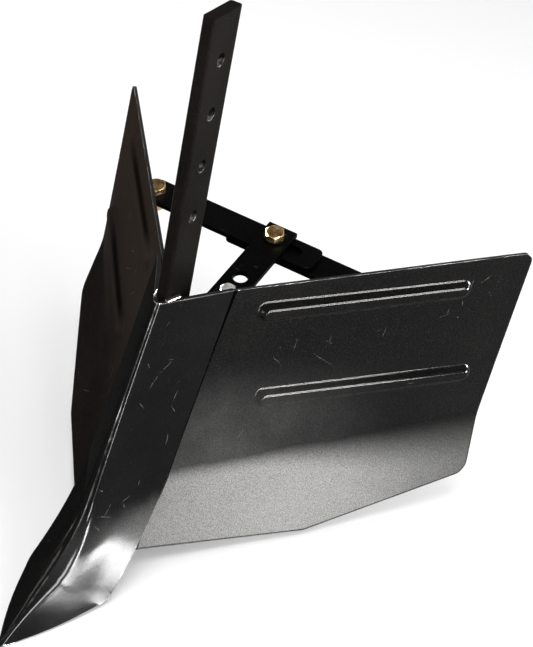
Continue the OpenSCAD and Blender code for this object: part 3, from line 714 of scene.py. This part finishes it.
def edge_wear(width, keep):
    """Bare metal along an edge, by the distance to it that the mesh carries, most at a wing's rear."""
    def make(p):
        rag = p.math("MULTIPLY", p.math("SUBTRACT", p.noise(160, 4, 0.65), 0.5), width * 3)
        near = p.span(p.math("ADD", p.value("edge"), rag), 0.0, width, 1.0, 0.0)
        rear = p.span(p.axis("X", p.spot()), rear_wear_from, rear_wear_to, 0.0, 0.25)
        much = p.math("ADD", p.noise(14, 3, 0.6), rear)
        return p.math("MULTIPLY", near, p.span(much, keep - 0.1, keep + 0.2, 0.0, 0.6))
    return make


def flange_painted_reflection(p):
    """The bottom flange gets a painted reflection in light grey, least at the rear, with a faint haze above
    it.
    """
    place = p.spot()
    s, z = p.axis("X", place), p.axis("Y", place)
    cloud = p.math("SUBTRACT", p.noise(13, 5, 0.6), 0.5)
    reach = p.span(s, 0, 260, flange_front_z, flange_rear_z)
    down = p.span(p.math("ADD", z, p.math("MULTIPLY", cloud, 12)), reach, flange_fade_z, 1.0, 0.0)
    back = p.math("ADD", p.span(s, 90, 290, 1.0, 0.45), p.math("MULTIPLY", cloud, 0.4))
    back = p.math("MULTIPLY", back, p.span(s, -60, 90, 0.72, 1.0))
    rim = p.span(p.value("edge"), 0.9, 1.8)
    flange = p.math("MULTIPLY", p.math("MULTIPLY", down, back), p.math("MULTIPLY", rim, 0.9))
    haze = p.span(z, haze_low_z, haze_high_z, 0.14, 0.0)
    haze = p.math("MULTIPLY", p.span(s, haze_front_s, haze_rear_s, 1.0, 0.0), haze)
    return p.math("MAXIMUM", flange, p.math("MULTIPLY", haze, p.span(cloud, -0.25, 0.25, 0.5, 1.2)))


def left_gloss(p):
    """The left wing's gloss, left off where a rib begins."""
    return p.span(p.value("nose"), 0.0, 1.0, 0.1, 0.0)


def left_painted_warm_sheen(p):
    """The left wing gets a painted warm sheen, browner towards its top."""
    z = p.axis("Y", p.spot())
    return p.span(p.math("ADD", z, p.math("MULTIPLY", p.noise(9, 4, 0.6), 60)), 90, 250)


def blade_painted_reflection(p):
    """Bend and blade get a painted reflection in light grey, less so where they are lowest and at the
    crease.
    """
    place = p.spot()
    z = p.axis("Y", place)
    cloud = p.noise(22, 4, 0.6)
    low = p.span(p.math("ADD", z, p.math("MULTIPLY", cloud, 30)), 60, 96, 1.0, 0.0)
    low = p.math("MULTIPLY", low, p.span(p.math("ADD", z, p.math("MULTIPLY", cloud, 24)), 30, 66, 0.12, 1.0))
    return p.math("MULTIPLY", p.math("MULTIPLY", low, p.span(p.axis("X", place), 10, 60, 0.2, 1.0)), 0.3)


def scratches(p, lines, wobble_scale, strength):
    """Scratches with a shaky course and an uneven strength."""
    wobble = p.add("ShaderNodeTexNoise")
    wobble.inputs["Scale"].default_value = wobble_scale
    p.put(wobble.inputs["Vector"], p.place)
    shake = p.vec("SCALE", p.vec("SUBTRACT", wobble.outputs["Color"], (0.5, 0.5, 0.5)), 2.6)
    course = p.vec("MULTIPLY", p.vec("ADD", p.spot(), shake), (1, 1, 0))
    uneven = p.span(p.noise(320, 3, 0.6), 0.36, 0.62, 0.03, strength)
    return p.math("MULTIPLY", p.strokes(course, lines), uneven)


def wing_marks(p):
    return scratches(p, WING_MARKS, 150, 0.34)


def share_marks(p):
    """Scratches, and a crease that is rubbed bare in places."""
    lines = scratches(p, SHARE_MARKS, 170, 0.36)
    ridge = p.math("ADD", p.value("ridge"), p.math("MULTIPLY", p.noise(90, 4, 0.7), 3))
    rub = p.math("MULTIPLY", p.span(ridge, 1.6, 3.4, 0.35, 0.0), p.span(p.noise(26, 4, 0.7), 0.45, 0.65))
    return p.math("MAXIMUM", lines, rub)


def hole_rim_wear_and_glint(p):
    """Rubbed lower rims of the shank's holes: bare metal that also serves as a painted highlight on the lit
    lower rims.
    """
    y, z = p.axis("Y", p.place), p.axis("Z", p.place)
    first = (shank_top + frame_lift - hole_drop) * MM
    step = hole_pitch * MM
    radius = hole_d / 2 * MM
    # Whole steps below the first hole keep the remainder positive, and half a step centres it on a hole.
    steps_below = 100
    start = first - (steps_below + 0.5) * step
    dy = p.math("SUBTRACT", y, (shank_front + shank_d / 2 + frame_shift) * MM)
    dz = p.math("SUBTRACT", p.math("MODULO", p.math("SUBTRACT", z, start), step), step / 2)
    gap = p.math("SQRT", p.math("ADD", p.math("POWER", dy, 2.0), p.math("POWER", dz, 2.0)))
    ring = p.span(p.math("ABSOLUTE", p.math("SUBTRACT", gap, radius)), 0.3 * MM, 1.1 * MM, 1.0, 0.0)
    ring = p.math("MULTIPLY", ring, p.math("GREATER_THAN", z, first - (hole_count - 0.5) * step))
    # Only the lower half of each rim, where the painted highlight falls.
    ring = p.math("MULTIPLY", ring, p.span(dz, -0.7 * radius, 0.0, 1.0, 0.0))
    return p.math("MULTIPLY", ring, p.span(p.noise(240, 4, 0.65), 0.45, 0.6, 0.05, 0.5))


paint_wing = paint(
    "paint_wing", (0.0014, 0.0014, 0.0014), (0.0024, 0.0022, 0.0021), rough=0.105, spec=0.07,
    worn=edge_wear(0.6, 0.38), lift=flange_painted_reflection, marks=wing_marks, grain=0.8, tint=0.4)
# Shaded copy of the wing paint for the left wing: no gloss at a flat angle, painted brown sheen and shade.
paint_wing_left_shaded = paint(
    "paint_wing_left_shaded", (0.0076, 0.0062, 0.0054), (0.0120, 0.0097, 0.0084), rough=0.12, spec=0.0,
    worn=edge_wear(0.6, 0.45), lift=left_painted_warm_sheen, marks=wing_marks, tone=(0.0335, 0.0252, 0.0205),
    flank_shade="flank", metal=left_gloss, sheer=0.0)
paint_share = paint(
    "paint_share", (0.0024, 0.0024, 0.0025), (0.0042, 0.0042, 0.0043), rough=0.11, spec=0.055,
    worn=edge_wear(0.5, 0.45), lift=blade_painted_reflection, marks=share_marks, grain=0.35, tint=0.0)
# Shaded copy of the share paint for its left half, with the gloss taken off: painted shade.
paint_share_left_shaded = paint(
    "paint_share_left_shaded", (0.0050, 0.0048, 0.0047), (0.0080, 0.0076, 0.0073), rough=0.12, spec=0.0,
    worn=edge_wear(0.5, 0.45), grain=0.6, metal=0.1, sheer=0.0)
paint_back = paint("paint_back", (0.0034, 0.0034, 0.0036), (0.0064, 0.0058, 0.0055), rough=0.3, spec=0.08)
paint_rim = paint("paint_rim", (0.0060, 0.0060, 0.0060), (0.0140, 0.0135, 0.0130), rough=0.4, spec=0.04)
# A near-black paint for the painted shadow along the share's rear edge.
paint_seam_shadow = paint(
    "paint_seam_shadow", (0.0010, 0.0010, 0.0010), (0.0016, 0.0016, 0.0016), rough=0.6, spec=0.0, grain=0.1)
paint_bar = paint(
    "paint_bar", (0.0015, 0.0015, 0.0015), (0.0030, 0.0028, 0.0027), rough=0.35, spec=0.006, grain=0.2)
paint_shank = paint(
    "paint_shank", (0.0048, 0.0040, 0.0035), (0.0082, 0.0069, 0.0060), rough=0.35, spec=0.004,
    worn=hole_rim_wear_and_glint, grain=0.6)
paint_weld = paint("paint_weld", (0.016, 0.016, 0.016), (0.045, 0.043, 0.042), rough=0.14, spec=0.5)
zinc_yellow = zinc("zinc_yellow", (0.34, 0.21, 0.080), (0.74, 0.58, 0.31), top_reflection=1.0)
zinc_pale = zinc("zinc_pale", (0.62, 0.59, 0.55), (0.92, 0.90, 0.87), top_reflection=0.0)


# Share

covered_z, unworn = 95, 30.0

right_out = np.array([station_side(station, 0) for station in stations])
right_in = np.array([station_side(station, station[3]) for station in stations])
give = share_give(right_out)
outer, inner = (both_sides(side + give) + frame_move for side in (right_out, right_in))
steps = np.linalg.norm(np.diff(outer, axis=1), axis=2)[:, outer.shape[1] // 2:]
from_crease = np.concatenate([np.zeros((len(outer), 1)), np.cumsum(steps, axis=1)], axis=1)
from_crease = np.concatenate([from_crease[:, :0:-1], from_crease], axis=1)
share_z = outer[..., 2]
free_edge = np.where(share_z > covered_z, unworn, from_crease[:, :1] - from_crease)
share = shell("share_look", outer, inner, {
    "edge": np.minimum(free_edge, share_top - share_z), "ridge": from_crease,
    "place": np.stack([from_crease, share_z, 0 * share_z], axis=-1)})
# The share's left half takes the shaded copy of its paint.
slots(share, outer.shape, (paint_share, paint_share_left_shaded, paint_back, paint_rim),
      lambda row, centre: int(centre.x < 0))
soften(share, plate_edge, sharp_plate)
settle(share, "share")


# Wings

flank_full, flank_power, flank_front, flank_rear = 1.5, 2.2, 50, 90
nose_full = 0.3
probe = 0.5

grid = wing_grid()
S, Z = grid[..., 0], grid[..., 1]
height = wing_n(S, Z) + ribs(S, Z)
steep = rib_half * rib_flank / rib_h
# Flank is 1 on the ribs' upper flanks, where the left wing's paint gets painted shade.
flank = np.clip((ribs(S, Z - probe) - ribs(S, Z + probe)) * steep / flank_full, 0, 1) ** flank_power
flank = flank * ramp(S, rib_front, rib_front + flank_front) * ramp(rib_low_end - S, 0, flank_rear)
nose = np.clip((ribs(S + probe, Z) - ribs(S - probe, Z)) * steep / nose_full, 0, 1)
to_rear = (rear_s(Z) - S) * cos(rear_rake)
to_edge = np.minimum(corner_gap(to_rear, line_top(S) - Z, wing_corner),
                     corner_gap(to_rear, Z - line_low(S), wing_corner))
for side, sign, front_paint in (("right", 1, paint_wing), ("left", -1, paint_wing_left_shaded)):
    outer, inner = ((wing_at(S, Z, height - depth) + frame_move) * np.array([sign, 1, 1])
                    for depth in (0, wing_t))
    wing = shell(f"wing_{side}_look", outer, inner, {
        "edge": to_edge, "place": np.stack([S, Z, 0 * S], axis=-1), "flank": flank, "nose": nose})
    # The column along the share's rear edge takes the painted shadow.
    slots(wing, S.shape, (front_paint, paint_seam_shadow, paint_back, paint_rim),
          lambda row, centre: int(row == seam_col))
    soften(wing, plate_edge, sharp_plate)
    settle(wing, f"wing_{side}")


# Bars, fasteners and welds

dress("shank", shank_edge, paint_shank)
for node in ("centre_bar", "stay_left", "stay_right", "hinge_tab_left", "hinge_tab_right", "wing_ear_left",
             "wing_ear_right", "wing_lug_left", "wing_lug_right", "nose_gusset"):
    dress(node, plate_edge, paint_bar)
for node in nodes:
    if "washer" in node:
        dress(node, fastener_edge, paint_bar)
    elif "bolt" in node or "nut" in node:
        dress(node, fastener_edge, zinc_pale if "hinge" in node else zinc_yellow)
    elif "weld" in node:
        dress(node, weld_edge, paint_weld, sharp_weld, segments=2)


# Floor, light and camera, in metres and degrees

floor_half, floor_drop = 9, 0.0002
world_strength = 0.45
# Strip lamps on the right: name, place, aim, size, and the powers there (1) and of the left copy (-1).
SIDE_STRIPS = (
    ("low", (1.48, -0.37, 0.28), (0.1, 0.0, 0.12), (0.9, 0.22), {1: 142, -1: 90}),
    ("high", (1.35, -0.27, 1.02), (0.1, 0.0, 0.15), (0.9, 0.36), {1: 118, -1: 75}),
    ("rear", (1.3, 0.75, 0.30), (0.15, 0.1, 0.15), (0.8, 0.26), {1: 138, -1: 90}))
sensor, focal_px, picture_h_px = 36, 1686.4007, 647
camera_spot, camera_turn = (0.5238979, -1.0906682, 1.0249505), (55.7656, -10.0494, 29.1986)

level = cad_box[0][2] - floor_drop
floor_mesh = bpy.data.meshes.new("floor")
floor_corners = [(x * floor_half, y * floor_half, level) for x, y in ((-1, -1), (1, -1), (1, 1), (-1, 1))]
floor_mesh.from_pydata(floor_corners, [], [(0, 1, 2, 3)])
floor = link(bpy.data.objects.new("floor", floor_mesh))
ground = Shader("floor_white")
ground.bsdf.inputs["Base Color"].default_value = (0.98, 0.98, 0.98, 1)
ground.bsdf.inputs["Roughness"].default_value = 0.9
ground.bsdf.inputs["Specular IOR Level"].default_value = 0.0
floor_mesh.materials.append(ground.mat)


def lamp(name, spot, look, size, power):
    data = bpy.data.lights.new(name, "AREA")
    data.shape = "RECTANGLE"
    data.size, data.size_y = size
    data.energy = power
    obj = link(bpy.data.objects.new(name, data))
    obj.location = spot
    obj.rotation_euler = (Vector(look) - Vector(spot)).to_track_quat("-Z", "Y").to_euler()
    return obj


# Two lamps light the paint without a reflection, and the strips show only as reflections.
lamp("key_right", (2.2, -0.75, 1.1), (0.1, 0.0, 0.10), (1.2, 0.9), 40).visible_glossy = False
lamp("top", (-0.3, -0.3, 2.8), (0, 0, 0), (2.6, 2.6), 60).visible_glossy = False
strips = [lamp("strip_nose", (1.2, -1.6, 0.25), (0, -0.1, 0.12), (0.22, 0.5), 55),
          lamp("strip_front", (-0.45, -1.9, 0.55), (0, -0.1, 0.12), (0.35, 0.8), 18)]
for side, sign in (("right", 1), ("left", -1)):
    for name, spot, look, size, power in SIDE_STRIPS:
        mirrored = [(sign * x, y, z) for x, y, z in (spot, look)]
        strips.append(lamp(f"strip_{side}_{name}", *mirrored, size, power[sign]))
for strip in strips:
    strip.visible_diffuse = False

world = bpy.data.worlds.new("studio")
world.use_nodes = True
world.node_tree.nodes["Background"].inputs["Color"].default_value = (1, 1, 1, 1)
world.node_tree.nodes["Background"].inputs["Strength"].default_value = world_strength
scene.world = world

cam_data = bpy.data.cameras.new("camera")
cam_data.sensor_width = sensor
cam_data.lens = focal_px / picture_h_px * sensor
cam = link(bpy.data.objects.new("camera", cam_data))
cam.location = camera_spot
cam.rotation_euler = [math.radians(angle) for angle in camera_turn]
scene.camera = cam
scene.view_settings.view_transform = "Standard"
